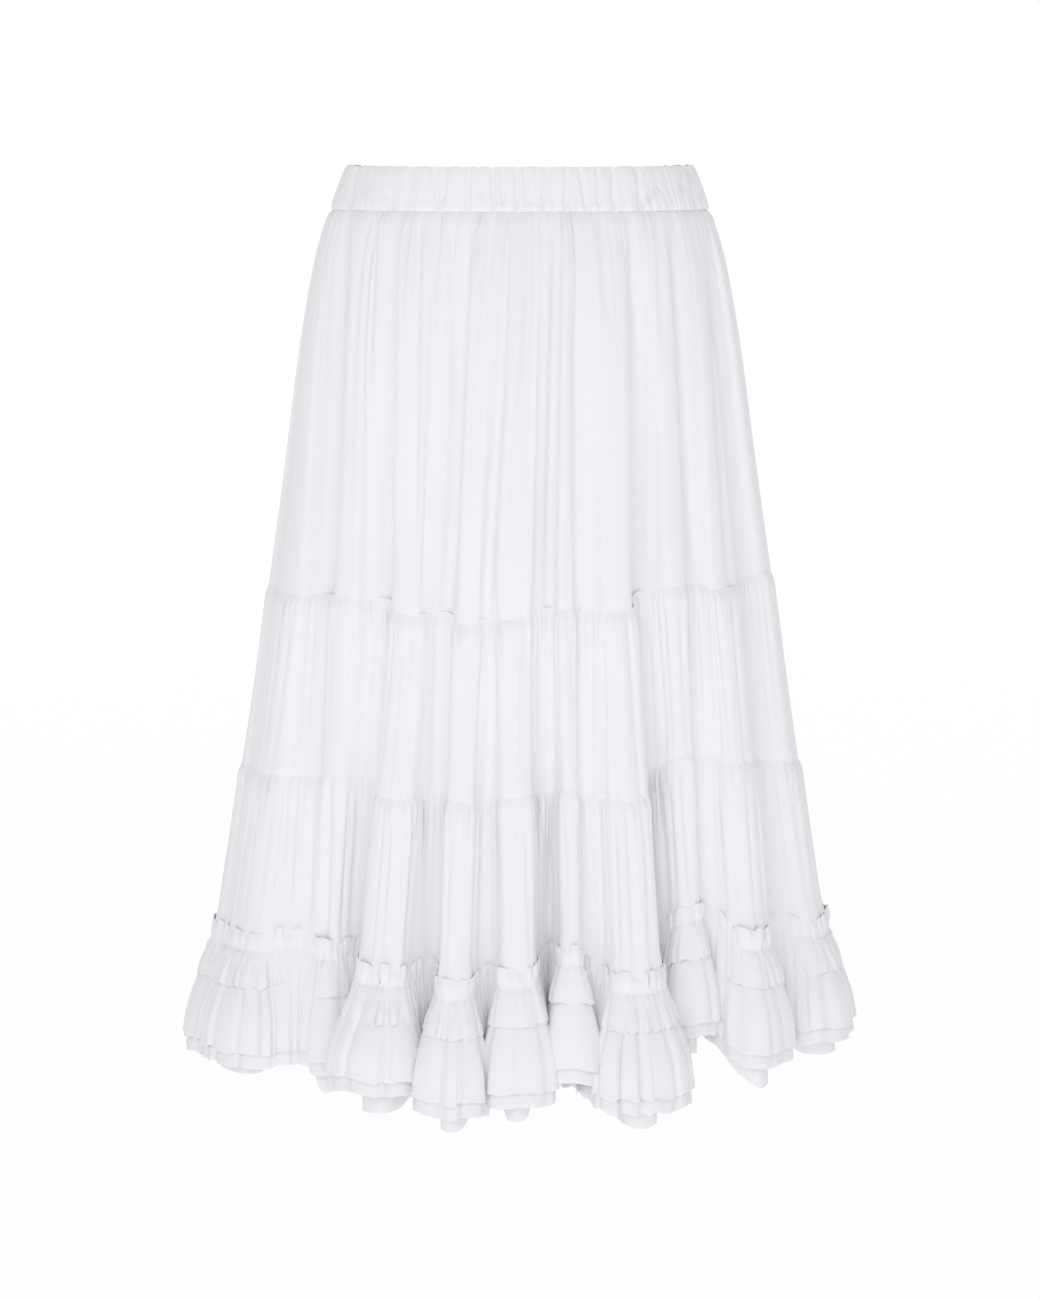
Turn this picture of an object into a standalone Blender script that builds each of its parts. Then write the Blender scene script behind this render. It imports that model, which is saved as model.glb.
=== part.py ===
"""Tiered ruffle skirt: an elasticated waistband, three gathered tiers and a layered ruffle hem.

The skirt is filled out as if worn. Its origin is the centre of the waist, half way up the waistband.
The front faces -Y, the left of the front is -X, and +Z is up. Sizes are in millimetres.
"""

import bpy
import numpy as np

for old in list(bpy.data.objects):
    bpy.data.objects.remove(old, do_unlink=True)

MM = 0.001

# Cloth: every piece is a wall, and neighbours stay a hair apart. The wall's second face is set off
# along the ring's radius, by no more than 1 / STEEPEST_COS times the wall on a fold's steep side.
WALL = 1.1
SEAM_GAP = 0.3
HALF_GAP = SEAM_GAP / 2
STEEPEST_COS = 0.5
SHARPEST_SMOOTH_EDGE = 50.0

# Heights, measured down from the waist's centre.
BAND_HALF = 17.0
HIGH_HIP = 60.0
HIP = 130.0
LOW_HIP = 220.0
KNEE_SEAM = 318.0
CALF_SEAM = 462.0
RUFFLE_LINE = 600.0
BASE_HEM = 698.0

# The gathered trim, from its stitched line: the frill's heading above it, three lengths below it.
HEADING = 21.0
SHORT_FLOUNCE = 26.0
MAIN_FLOUNCE = 76.0
UNDER_FLOUNCE = 87.0

# How far apart the trim's layers are, and how much more they stand out at their lower edges.
LAYER = 2.9
UNDER_FLARE = 2.0
MAIN_FLARE = 6.0
HEADING_FLARE = 4.0

# A gathered tier swells out under its seam.
SWELL = 3.0
SWELL_DROP = 24.0
HIP_SWELL = 1.0

COLUMNS_PER_FOLD = 3

# The body without its folds, a row for each level:
# drop below the origin, half width, half depth, share of the folds' reach that the level has.
LEVELS = [
    ("band_top", -BAND_HALF, 137.0, 97.0, 0.0),
    ("band_seam", BAND_HALF, 149.0, 106.0, 0.0),
    ("high_hip", HIGH_HIP, 162.0, 122.0, 0.22),
    ("hip", HIP, 174.0, 140.0, 0.5),
    ("low_hip", LOW_HIP, 185.0, 155.0, 0.8),
    ("knee_seam", KNEE_SEAM, 198.0, 168.0, 1.0),
    ("calf_seam", CALF_SEAM, 220.0, 189.0, 1.0),
    ("ruffle_line", RUFFLE_LINE, 243.0, 212.0, 1.0),
    ("base_hem", BASE_HEM, 254.0, 223.0, 1.0),
]

# The folds, ridge and valley by turns, from the left side seam round the front to the right one, and
# on round the back. A turn is the angle from the middle of the front towards +X, a reach is how far
# the cloth stands out of the body, and a drop how much lower than its level the cloth hangs.
# name, waist turn, knee turn, hem turn, knee reach, hem reach, knee drop, calf drop, hem drop.
FRONT_FOLDS = [
    ("left_side", -90, -90, -90, 4, 6, 0, 0, 9),
    ("left_side_fall", -84, -79, -76, -1, -8, 0, 0, 6),
    ("cone_1", -76, -67, -61, 4, 10, 0, -4, -3),
    ("valley_1", -66, -52, -46, -8, -22, -2, -5, -8),
    ("cone_2", -52, -44, -42, 2, -26, -4, -10, -2),
    ("valley_2", -42, -35, -40, -16, -62, -2, -8, -4),
    ("cone_3", -30, -25, -24, 5, 12, 6, 1, 7),
    ("valley_3", -15, -18, -18.5, -12, -38, 6, 0, 4),
    ("cone_4", -9, -11, -11.5, 5, 14, 12, 1, 14),
    ("valley_4", -5, -7, -6, -3, -26, 8, -1, 6),
    ("cone_5", 0, -2, -0.5, 6, 12, 7, -3, 4),
    ("valley_5", 11, 7, 6, -8, -46, 1, -3, -10),
    ("cone_6", 14, 10, 9, 4, 0, -2, -8, -12),
    ("valley_6", 17, 14, 12.5, -5, -24, 4, 0, 2),
    ("cone_7", 26, 22, 20, 6, 18, 3, 0, 10),
    ("valley_7", 35, 31, 34, -18, -64, -8, -12, -8),
    ("cone_8", 43, 37, 37, 2, -32, -13, -28, -34),
    ("valley_8", 51, 43.5, 44, -5, -48, -13, -24, -32),
    ("cone_9", 61, 53, 48, 4, 0, -8, -18, -8),
    ("valley_9", 71, 66, 60, -12, -34, -10, -12, -16),
    ("cone_10", 79, 76, 70, 5, 12, -16, -9, -6),
    ("right_side_fall", 85, 84, 81, 0, -6, -14, -9, -6),
]
BACK_FOLDS = [
    ("right_side", 90, 90, 90, 4, 6, -10, -3, 0),
    ("valley_11", 99, 98, 98, -6, -30, -8, -4, -6),
    ("cone_12", 107, 108, 109, 4, 12, -4, -2, 0),
    ("valley_12", 119, 120, 120, -12, -46, 0, -2, 0),
    ("cone_13", 130, 131, 131, 5, 8, 4, 0, 4),
    ("valley_13", 141, 142, 143, -7, -28, 6, 0, 6),
    ("cone_14", 152, 152, 153, 4, 14, 8, 2, 10),
    ("valley_14", 160, 161, 161, -14, -52, 6, 0, 6),
    ("cone_15", 170, 170, 171, 6, 12, 8, 2, 10),
    ("valley_15", 180, 179, 179, -6, -26, 8, 0, 10),
    ("cone_16", 188, 188, 187, 5, 14, 10, 2, 14),
    ("valley_16", 198, 197, 197, -12, -48, 8, 0, 8),
    ("cone_17", 207, 208, 208, 5, 10, 6, 0, 8),
    ("valley_17", 217, 218, 218, -7, -28, 4, -2, 4),
    ("cone_18", 228, 229, 230, 6, 14, 4, 0, 4),
    ("valley_18", 239, 240, 240, -15, -50, 2, -2, 0),
    ("cone_19", 249, 250, 251, 4, 10, 0, -2, 0),
    ("left_back_fall", 260, 261, 262, -4, -22, 0, 0, -2),
]
TURN_COLUMNS = (1, 2, 3)
FOLDS = FRONT_FOLDS + BACK_FOLDS
RIGHT_SEAM = len(FRONT_FOLDS)
WHOLE_TURN = len(FOLDS)

# The cloth's colours, a shade apart so that neighbours can be told from each other.
WHITE = (0.86, 0.87, 0.88)
SHADED_WHITE = (0.78, 0.79, 0.80)


def column(index):
    """A column of the fold table, with the first fold again at the end, a whole turn further on."""
    values = [float(row[index]) for row in FOLDS]
    closing = values[0] + (360.0 if index in TURN_COLUMNS else 0.0)
    return np.array(values + [closing])


def along_folds(place, index, rounded=True):
    """A column's value at places along the fold table, with round ridges and sharper valleys."""
    values = column(index)
    start = np.clip(np.floor(place).astype(int), 0, WHOLE_TURN - 1)
    part = place - start
    if not rounded:
        return values[start] + (values[start + 1] - values[start]) * part
    from_valley = np.where(start % 2 == 1, part, 1.0 - part)
    valley = np.where(start % 2 == 1, values[start], values[start + 1])
    ridge = np.where(start % 2 == 1, values[start + 1], values[start])
    return valley + (ridge - valley) * np.sin(from_valley * np.pi / 2)


def level(drop, index):
    """A column of the level table at a drop below the origin."""
    return np.interp(drop, [row[1] for row in LEVELS], [row[index] for row in LEVELS])


def ring(place, drop, stand_out=0.0):
    """Points at places along the fold table, at one drop, standing out of the folded cloth."""
    knee_share = np.clip((drop - BAND_HALF) / (KNEE_SEAM - BAND_HALF), 0.0, 1.0)
    hem_share = np.clip((drop - KNEE_SEAM) / (BASE_HEM - KNEE_SEAM), 0.0, 1.0)
    turn = along_folds(place, 1, False) * (1.0 - knee_share)
    turn = turn + along_folds(place, 2, False) * knee_share * (1.0 - hem_share)
    turn = turn + along_folds(place, 3, False) * knee_share * hem_share
    reach = along_folds(place, 4) * (1.0 - hem_share) + along_folds(place, 5) * hem_share
    reach = reach * level(drop, 4) + stand_out
    knots = [BAND_HALF, KNEE_SEAM, CALF_SEAM, RUFFLE_LINE]
    hung = [0.0, along_folds(place, 6), along_folds(place, 7), along_folds(place, 8)]
    upper = int(np.clip(np.searchsorted(knots, drop) - 1, 0, 2))
    part = np.clip((drop - knots[upper]) / (knots[upper + 1] - knots[upper]), 0.0, 1.0)
    sag = hung[upper] * (1.0 - part) + hung[upper + 1] * part
    angle = np.radians(turn)
    across = (level(drop, 2) + reach) * np.sin(angle)
    forward = -(level(drop, 3) + reach) * np.cos(angle)
    return np.stack([across, forward, -(drop + sag)], axis=-1)


def wall_reach(place, drop):
    """How far a wall's second face stands from its first, more where the fold's side is steep."""
    step = 0.05
    ahead = ring(np.clip(place + step, 0, WHOLE_TURN), drop)
    behind = ring(np.clip(place - step, 0, WHOLE_TURN), drop)
    run = (ahead - behind)[..., :2]
    middle = ring(place, drop)[..., :2]
    length = np.linalg.norm(run, axis=-1) * np.linalg.norm(middle, axis=-1)
    crossing = np.abs(run[..., 0] * middle[..., 1] - run[..., 1] * middle[..., 0])
    return WALL / np.maximum(crossing / length, STEEPEST_COS)


def cloth(name, first, last, rows, colour):
    """A closed wall of cloth between two places along the fold table.

    Each row is a drop and how far the outer face stands out of the folded body there.
    """
    count = (last - first) * COLUMNS_PER_FOLD + 1
    place = np.linspace(first, last, count)
    outer = []
    inner = []
    for drop, stand_out in rows:
        outer.append(ring(place, drop, stand_out))
        inner.append(ring(place, drop, stand_out - wall_reach(place, drop)))
    faces_of_wall = [np.array(outer), np.array(inner)]
    for grid in faces_of_wall:
        for end, neighbour in ((0, 1), (-1, -2)):
            along = grid[:, neighbour] - grid[:, end]
            along = along / np.linalg.norm(along, axis=-1, keepdims=True)
            grid[:, end] += along * SEAM_GAP / 2
    points = np.concatenate([grid.reshape(-1, 3) for grid in faces_of_wall]) * MM

    height = len(rows)

    def outside(row, col):
        return row * count + col

    def inside(row, col):
        return height * count + row * count + col

    faces = []
    for row in range(height - 1):
        for col in range(count - 1):
            faces.append((outside(row, col), outside(row + 1, col),
                          outside(row + 1, col + 1), outside(row, col + 1)))
            faces.append((inside(row, col), inside(row, col + 1),
                          inside(row + 1, col + 1), inside(row + 1, col)))
        faces.append((outside(row, 0), inside(row, 0), inside(row + 1, 0), outside(row + 1, 0)))
        faces.append((outside(row, count - 1), outside(row + 1, count - 1),
                      inside(row + 1, count - 1), inside(row, count - 1)))
    for col in range(count - 1):
        faces.append((outside(0, col), outside(0, col + 1), inside(0, col + 1), inside(0, col)))
        faces.append((outside(height - 1, col), inside(height - 1, col),
                      inside(height - 1, col + 1), outside(height - 1, col + 1)))

    mesh = bpy.data.meshes.new(name)
    mesh.from_pydata(points.tolist(), [], faces)
    mesh.shade_smooth()
    mesh.set_sharp_from_angle(angle=np.radians(SHARPEST_SMOOTH_EDGE))
    material = bpy.data.materials.new(name + "_cloth")
    material.use_nodes = True
    shader = material.node_tree.nodes["Principled BSDF"]
    shader.inputs["Base Color"].default_value = (*colour, 1.0)
    shader.inputs["Roughness"].default_value = 0.85
    shader.inputs["Metallic"].default_value = 0.0
    mesh.materials.append(material)
    piece = bpy.data.objects.new(name, mesh)
    bpy.context.scene.collection.objects.link(piece)
    return piece


def front_and_back(name, rows, colour):
    """A piece for the front and one for the back, which meet at the side seams."""
    cloth(name + "_front", 0, RIGHT_SEAM, rows, colour)
    cloth(name + "_back", RIGHT_SEAM, WHOLE_TURN, rows, colour)


# The casing that holds the elastic.
front_and_back("waistband", [
    (-BAND_HALF, 0.0),
    (BAND_HALF - HALF_GAP, 0.0),
], SHADED_WHITE)

# The hip tier, gathered to the band.
front_and_back("tier_1", [
    (BAND_HALF + HALF_GAP, 0.0),
    (HIGH_HIP, HIP_SWELL),
    (HIP, 0.0),
    (KNEE_SEAM - HALF_GAP, 0.0),
], WHITE)

# The middle tier, gathered to the first, so that it swells below the seam.
front_and_back("tier_2", [
    (KNEE_SEAM + HALF_GAP, 0.0),
    (KNEE_SEAM + SWELL_DROP, SWELL),
    (CALF_SEAM - HALF_GAP, 0.0),
], SHADED_WHITE)

# The lowest tier goes on down behind the trim to its own hem.
front_and_back("tier_3", [
    (CALF_SEAM + HALF_GAP, 0.0),
    (CALF_SEAM + SWELL_DROP, SWELL),
    (RUFFLE_LINE, 0.0),
    (BASE_HEM, 0.0),
], WHITE)

# The trim's layers, each clear of the one beneath it.
front_and_back("under_flounce", [
    (RUFFLE_LINE, LAYER),
    (RUFFLE_LINE + UNDER_FLOUNCE, LAYER + UNDER_FLARE),
], SHADED_WHITE)
front_and_back("main_flounce", [
    (RUFFLE_LINE, 2 * LAYER),
    (RUFFLE_LINE + MAIN_FLOUNCE, 2 * LAYER + MAIN_FLARE),
], WHITE)
front_and_back("frill", [
    (RUFFLE_LINE - HEADING, 3 * LAYER + HEADING_FLARE),
    (RUFFLE_LINE, 3 * LAYER),
    (RUFFLE_LINE + SHORT_FLOUNCE, 3 * LAYER + MAIN_FLARE),
], SHADED_WHITE)
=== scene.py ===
"""The looks of the tiered ruffle skirt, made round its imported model.

The studio is measured in metres and the cloth in millimetres.
"""

import math

import bpy
import numpy as np
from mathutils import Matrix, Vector


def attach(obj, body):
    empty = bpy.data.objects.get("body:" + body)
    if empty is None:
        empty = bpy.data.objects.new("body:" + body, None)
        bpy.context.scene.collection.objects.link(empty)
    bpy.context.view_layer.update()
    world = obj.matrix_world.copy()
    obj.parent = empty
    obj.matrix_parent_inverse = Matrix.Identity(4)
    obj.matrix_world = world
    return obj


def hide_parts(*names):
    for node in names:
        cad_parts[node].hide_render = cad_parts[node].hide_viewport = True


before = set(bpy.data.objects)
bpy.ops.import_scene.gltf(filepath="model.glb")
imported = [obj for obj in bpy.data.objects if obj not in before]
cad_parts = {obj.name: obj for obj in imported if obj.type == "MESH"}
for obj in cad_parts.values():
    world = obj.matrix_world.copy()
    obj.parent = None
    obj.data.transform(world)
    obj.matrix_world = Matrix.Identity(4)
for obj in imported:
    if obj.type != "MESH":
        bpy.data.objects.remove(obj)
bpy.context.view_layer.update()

# ---------------------------------------------------------------------------------------------
# The studio: a camera at waist height, a long way in front and tipped down a little, a softbox on
# each side of it and one behind the skirt, and a pale floor that runs out into a white room.

CAMERA_DISTANCE = 3.2
CAMERA_HEIGHT = 0.06
CAMERA_TIP = 7.68
CAMERA_LENS = 110.8

camera = bpy.data.objects.new("camera", bpy.data.cameras.new("camera"))
bpy.context.scene.collection.objects.link(camera)
camera.data.lens = CAMERA_LENS
camera.data.sensor_width = 36.0
camera.location = (0.0, -CAMERA_DISTANCE, CAMERA_HEIGHT)
camera.rotation_euler = (math.radians(90.0 - CAMERA_TIP), 0.0, 0.0)
bpy.context.scene.camera = camera
bpy.context.scene.view_settings.view_transform = "Standard"

SKIRT_MIDDLE = Vector((0.0, 0.0, -0.35))


def soft_light(name, place, width, power):
    """A square softbox that faces the middle of the skirt."""
    lamp = bpy.data.lights.new(name, "AREA")
    lamp.size = width
    lamp.energy = power
    softbox = bpy.data.objects.new(name, lamp)
    softbox.location = place
    aim = SKIRT_MIDDLE - softbox.location
    softbox.rotation_euler = aim.to_track_quat("-Z", "Y").to_euler()
    bpy.context.scene.collection.objects.link(softbox)


soft_light("key", place=(-0.8, -3.05, 0.7), width=1.2, power=13.0)
soft_light("fill", place=(0.4, -3.3, -0.35), width=1.8, power=12.0)
soft_light("back", place=(0.8, 3.2, 1.6), width=1.6, power=14.0)


class Shade:
    """A shader value that can be worked with in expressions."""

    def __init__(self, tree, socket):
        self.tree = tree
        self.socket = socket

    def node(self, kind, settings=None, output=0, **values):
        """A node of one kind in the same tree: its settings, then values or links by socket.

        A socket goes by its name, or by its number after an s where names repeat.
        """
        made = self.tree.nodes.new(kind)
        for key, setting in (settings or {}).items():
            setattr(made, key, setting)
        for key, value in values.items():
            slot = made.inputs[int(key[1:])] if key[1:].isdigit() else made.inputs[key.replace("_", " ")]
            if isinstance(value, Shade):
                self.tree.links.new(value.socket, slot)
            else:
                slot.default_value = value
        return Shade(self.tree, made.outputs[output] if made.outputs else None)

    def maths(self, operation, *values):
        """A Math node on these values."""
        return self.node("ShaderNodeMath", {"operation": operation},
                         **{f"s{place}": value for place, value in enumerate(values)})

    def __add__(self, other):
        return self.maths("ADD", self, other)

    __radd__ = __add__

    def __mul__(self, other):
        return self.maths("MULTIPLY", self, other)

    __rmul__ = __mul__

    def sine(self):
        return self.maths("SINE", self)

    def mix(self, low, high):
        """Two colours mixed by this value."""
        return self.node("ShaderNodeMix", {"data_type": "RGBA"}, output=2, s0=self, s6=low, s7=high)


def new_tree(block):
    """A block's emptied node tree, as something to start an expression from."""
    block.use_nodes = True
    block.node_tree.nodes.clear()
    return Shade(block.node_tree, None)


# The room looks full white, but lights the cloth with only a share of that.
ROOM_WHITE = (1.0, 1.0, 1.0, 1.0)
ROOM_LIGHT = 0.57

room = bpy.data.worlds.new("room")
bpy.context.scene.world = room
start = new_tree(room)
seen = start.node("ShaderNodeLightPath", output=0)
strength = seen * (1.0 - ROOM_LIGHT) + ROOM_LIGHT
glow = start.node("ShaderNodeBackground", Color=ROOM_WHITE, Strength=strength)
start.node("ShaderNodeOutputWorld", Surface=glow)

FLOOR_DROP = 1.02
FLOOR_SIZE = 60.0
FLOOR_NEAR = 1.5
FLOOR_FAR = 6.0
FLOOR_GLOW = 0.97
FLOOR_PAINT = (0.9, 0.9, 0.9, 1.0)

bpy.ops.mesh.primitive_plane_add(size=FLOOR_SIZE, location=(0.0, 0.0, -FLOOR_DROP))
floor = bpy.context.object
floor.name = "floor"
paint = bpy.data.materials.new("pale_floor")
start = new_tree(paint)
spot = start.node("ShaderNodeNewGeometry", output=0)
away = start.node("ShaderNodeVectorMath", {"operation": "LENGTH"}, output=1, s0=spot)
fading = start.node("ShaderNodeMapRange", {"clamp": True}, Value=away, From_Min=FLOOR_NEAR,
                    From_Max=FLOOR_FAR, To_Min=FLOOR_GLOW, To_Max=1.0)
matt = start.node("ShaderNodeBsdfPrincipled", Base_Color=FLOOR_PAINT, Roughness=0.9)
lit = start.node("ShaderNodeEmission", Color=ROOM_WHITE, Strength=1.0)
both = start.node("ShaderNodeMixShader", s0=fading, s1=matt, s2=lit)
start.node("ShaderNodeOutputMaterial", Surface=both)
floor.data.materials.append(paint)

# ---------------------------------------------------------------------------------------------
# The hip tier: two straight lengths of fine white cotton, seamed at the sides and gathered to the
# band. Its gathers run out into long soft folds, which all the cloth below hangs in too.

MM = 0.001
BAND_HALF = 17.0
KNEE_SEAM = 318.0
CALF_SEAM = 462.0
RUFFLE_LINE = 600.0
BASE_HEM = 698.0

# The body without its folds: drop below the waist, half width, half depth, share of the folds.
LEVEL_DROP, HALF_WIDTH, HALF_DEPTH, FOLD_SHARE = range(4)
LEVELS = np.array([
    (-BAND_HALF, 137.0, 97.0, 0.0),
    (BAND_HALF, 149.0, 106.0, 0.0),
    (60.0, 162.0, 122.0, 0.22),
    (130.0, 174.0, 140.0, 0.5),
    (220.0, 185.0, 155.0, 0.8),
    (KNEE_SEAM, 198.0, 168.0, 1.0),
    (CALF_SEAM, 220.0, 189.0, 1.0),
    (RUFFLE_LINE, 243.0, 212.0, 1.0),
    (BASE_HEM, 254.0, 223.0, 1.0),
])

# The folds, ridge and valley by turns, round the front from the left side seam and on round the
# back. Turns are degrees from the middle of the front. A reach is how far a fold stands out, and
# a drop is how much lower than the rest its cloth hangs.
WAIST_TURN, KNEE_TURN, HEM_TURN, KNEE_REACH, HEM_REACH, KNEE_DROP, CALF_DROP, HEM_DROP = range(8)
FOLDS = np.array([
    (-90, -90, -90, 4, 6, 0, 0, 9),
    (-84, -79, -76, -1, -8, 0, 0, 6),
    (-76, -67, -61, 4, 10, 0, -4, -3),
    (-66, -52, -46, -8, -22, -2, -5, -8),
    (-52, -44, -42, 2, -26, -4, -10, -2),
    (-42, -35, -40, -16, -62, -2, -8, -4),
    (-30, -25, -24, 5, 12, 6, 1, 7),
    (-15, -18, -18.5, -12, -38, 6, 0, 4),
    (-9, -11, -11.5, 5, 14, 12, 1, 14),
    (-5, -7, -6, -3, -26, 8, -1, 6),
    (0, -2, -0.5, 6, 12, 7, -3, 4),
    (11, 7, 6, -8, -46, 1, -3, -10),
    (14, 10, 9, 4, 0, -2, -8, -12),
    (17, 14, 12.5, -5, -24, 4, 0, 2),
    (26, 22, 20, 6, 18, 3, 0, 10),
    (35, 31, 34, -18, -64, -8, -12, -8),
    (43, 37, 37, 2, -32, -13, -28, -34),
    (51, 43.5, 44, -5, -48, -13, -24, -32),
    (61, 53, 48, 4, 0, -8, -18, -8),
    (71, 66, 60, -12, -34, -10, -12, -16),
    (79, 76, 70, 5, 12, -16, -9, -6),
    (85, 84, 81, 0, -6, -14, -9, -6),
    (90, 90, 90, 4, 6, -10, -3, 0),
    (99, 98, 98, -6, -30, -8, -4, -6),
    (107, 108, 109, 4, 12, -4, -2, 0),
    (119, 120, 120, -12, -46, 0, -2, 0),
    (130, 131, 131, 5, 8, 4, 0, 4),
    (141, 142, 143, -7, -28, 6, 0, 6),
    (152, 152, 153, 4, 14, 8, 2, 10),
    (160, 161, 161, -14, -52, 6, 0, 6),
    (170, 170, 171, 6, 12, 8, 2, 10),
    (180, 179, 179, -6, -26, 8, 0, 10),
    (188, 188, 187, 5, 14, 10, 2, 14),
    (198, 197, 197, -12, -48, 8, 0, 8),
    (207, 208, 208, 5, 10, 6, 0, 8),
    (217, 218, 218, -7, -28, 4, -2, 4),
    (228, 229, 230, 6, 14, 4, 0, 4),
    (239, 240, 240, -15, -50, 2, -2, 0),
    (249, 250, 251, 4, 10, 0, -2, 0),
    (260, 261, 262, -4, -22, 0, 0, -2),
    (270, 270, 270, 4, 6, 0, 0, 9),
])
LEFT_SEAM, RIGHT_SEAM, WHOLE_TURN = 0, 22, 40
VALLEY_ROUNDING = 0.12
PIPE_SHARE = 0.75
HEM_EASE = 0.4


def smooth_step(value):
    """0 below 0, 1 above 1, and an easy rise between them."""
    value = np.clip(value, 0.0, 1.0)
    return value * value * (3.0 - 2.0 * value)


def smooth_table(value, knots, figures):
    """A smooth curve through a table's figures, with no overshoot between them."""
    value = np.clip(value, knots[0], knots[-1])
    gap = np.diff(knots)
    slope = np.diff(figures) / gap
    product = slope[:-1] * slope[1:]
    inner = np.where(product > 0, 2 * product / (slope[:-1] + slope[1:] + 1e-12), 0)
    tangent = np.concatenate([[slope[0]], inner, [slope[-1]]])
    spot = np.clip(np.searchsorted(knots, value, side="right") - 1, 0, len(gap) - 1)
    part = (value - knots[spot]) / gap[spot]
    return (figures[spot] * (1 + 2 * part) * (1 - part) ** 2
            + figures[spot + 1] * part ** 2 * (3 - 2 * part)
            + gap[spot] * tangent[spot] * part * (1 - part) ** 2
            - gap[spot] * tangent[spot + 1] * part ** 2 * (1 - part))


def between_folds(place, column):
    """A column's figures at the valley and the ridge beside each place, and the share between."""
    start = np.clip(np.floor(place).astype(int), 0, WHOLE_TURN - 1)
    at_valley = start % 2 == 1
    from_valley = np.where(at_valley, place - start, 1.0 - (place - start))
    valley = np.where(at_valley, FOLDS[start, column], FOLDS[start + 1, column])
    ridge = np.where(at_valley, FOLDS[start + 1, column], FOLDS[start, column])
    return valley, ridge, from_valley


def along_folds(place, column):
    """A reach or a drop of the fold table at places along it: round ridges, sharper valleys."""
    valley, ridge, from_valley = between_folds(place, column)
    rise = np.sqrt(np.sin(from_valley * np.pi / 2) ** 2 + VALLEY_ROUNDING ** 2) - VALLEY_ROUNDING
    rise = rise / (math.sqrt(1 + VALLEY_ROUNDING ** 2) - VALLEY_ROUNDING)
    return valley + (ridge - valley) * rise


def turns_along(place, column, pinch=0.0):
    """A turn of the fold table at places along it, as for pipes that a pinch makes narrower."""
    valley, ridge, from_valley = between_folds(place, column)
    share = from_valley + PIPE_SHARE * np.sin(2 * np.pi * from_valley) / (2 * np.pi)
    return valley + (ridge - valley) * (share + pinch * share * (1.0 - share))


def folded_body(place, drop, pinch=0.0):
    """Points of the folded body at places along the fold table and at drops below the waist.

    A pinch above 0 narrows the pipes at the hem, and one below 0 widens them.
    """
    place, drop = np.broadcast_arrays(place, drop)
    knee_share = np.clip((drop - BAND_HALF) / (KNEE_SEAM - BAND_HALF), 0.0, 1.0)
    below_knee = (drop - KNEE_SEAM) / (BASE_HEM - KNEE_SEAM)
    hem_share = HEM_EASE * smooth_step(below_knee) + (1 - HEM_EASE) * np.clip(below_knee, 0.0, 1.0)
    turn = turns_along(place, WAIST_TURN) * (1 - knee_share) + turns_along(place, KNEE_TURN) * knee_share
    turn = turn * (1 - hem_share) + turns_along(place, HEM_TURN, pinch) * hem_share
    reach = along_folds(place, KNEE_REACH) * (1 - hem_share) + along_folds(place, HEM_REACH) * hem_share
    reach = reach * smooth_table(drop, LEVELS[:, LEVEL_DROP], LEVELS[:, FOLD_SHARE])
    half_width = smooth_table(drop, LEVELS[:, LEVEL_DROP], LEVELS[:, HALF_WIDTH]) + reach
    half_depth = smooth_table(drop, LEVELS[:, LEVEL_DROP], LEVELS[:, HALF_DEPTH]) + reach
    sag = np.zeros_like(place)
    hung = 0.0
    top = BAND_HALF
    for bottom, column in ((KNEE_SEAM, KNEE_DROP), (CALF_SEAM, CALF_DROP), (RUFFLE_LINE, HEM_DROP)):
        hangs = along_folds(place, column)
        sag = sag + (hangs - hung) * np.clip((drop - top) / (bottom - top), 0.0, 1.0)
        hung = hangs
        top = bottom
    angle = np.radians(turn)
    return np.stack([half_width * np.sin(angle), -half_depth * np.cos(angle), -(drop + sag)], axis=-1)


FINE_STEPS = 6000


def even_places(first, last, count, drop):
    """Places that are evenly far apart along the cloth at one drop, and their distances along it."""
    fine = np.linspace(first, last, FINE_STEPS)
    line = folded_body(fine, np.full_like(fine, drop))
    steps = np.linalg.norm(np.diff(line, axis=0), axis=1)
    along = np.concatenate([[0.0], np.cumsum(steps)])
    even = np.linspace(0.0, along[-1], count)
    return np.interp(even, along, fine), even


RIDGE_NARROWNESS = 1.5


def ridge_share(place):
    """1 along the ridges of the fold table and 0 along its valleys."""
    return np.abs(np.cos(np.pi * place / 2)) ** RIDGE_NARROWNESS


STEEPEST_SKEW = 0.85
GROUP = 5
FADE_CURVE = 1.6


def gathers(along, down, spacing, longest, seed, narrow=2.6):
    """Uneven ridges that run down from a seam and die out, each at its own length.

    They come in stronger and weaker groups, and each is steeper on one side or the other. The
    higher narrow is, the narrower their troughs. The first result is their height, from -1 to 1,
    and the second is a sideways lean to go with it.
    """
    draw = np.random.default_rng(seed)
    count = int(along.max() / (0.55 * spacing)) + 8
    ridges = np.cumsum(spacing * draw.uniform(0.45, 1.75, count)) - 3 * spacing
    index = np.arange(count)
    marks = np.arange(0, count + GROUP, GROUP)
    groups = np.interp(index, marks, draw.uniform(0.35, 1.0, len(marks)))
    heights = draw.uniform(0.2, 1.0, count) * groups
    lengths = longest * draw.uniform(0.2, 1.0, count)
    drift = spacing * draw.uniform(-1.1, 1.1, count) / longest
    skews = draw.uniform(-STEEPEST_SKEW, STEEPEST_SKEW, count + 1)
    wander = np.interp(along, ridges, np.convolve(drift, np.ones(GROUP) / GROUP, "same"))
    moved = along[None, :] + wander[None, :] * down
    phase = np.interp(moved, ridges, index)
    phase = phase + skews[phase.astype(int)] * (1.0 - np.cos(2 * np.pi * phase)) / (2 * np.pi)
    height = np.interp(moved, ridges, heights)
    length = np.interp(moved, ridges, lengths)
    fade = np.exp(-((np.maximum(down, 0.0) / length) ** FADE_CURVE))
    bump = 1.0 - 2.0 * np.abs(np.sin(np.pi * phase)) ** narrow
    return height * fade * bump, height * fade * np.sin(4 * np.pi * phase)


CREASE_OVERRUN = 0.12
CREASE_END = 0.3


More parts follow.
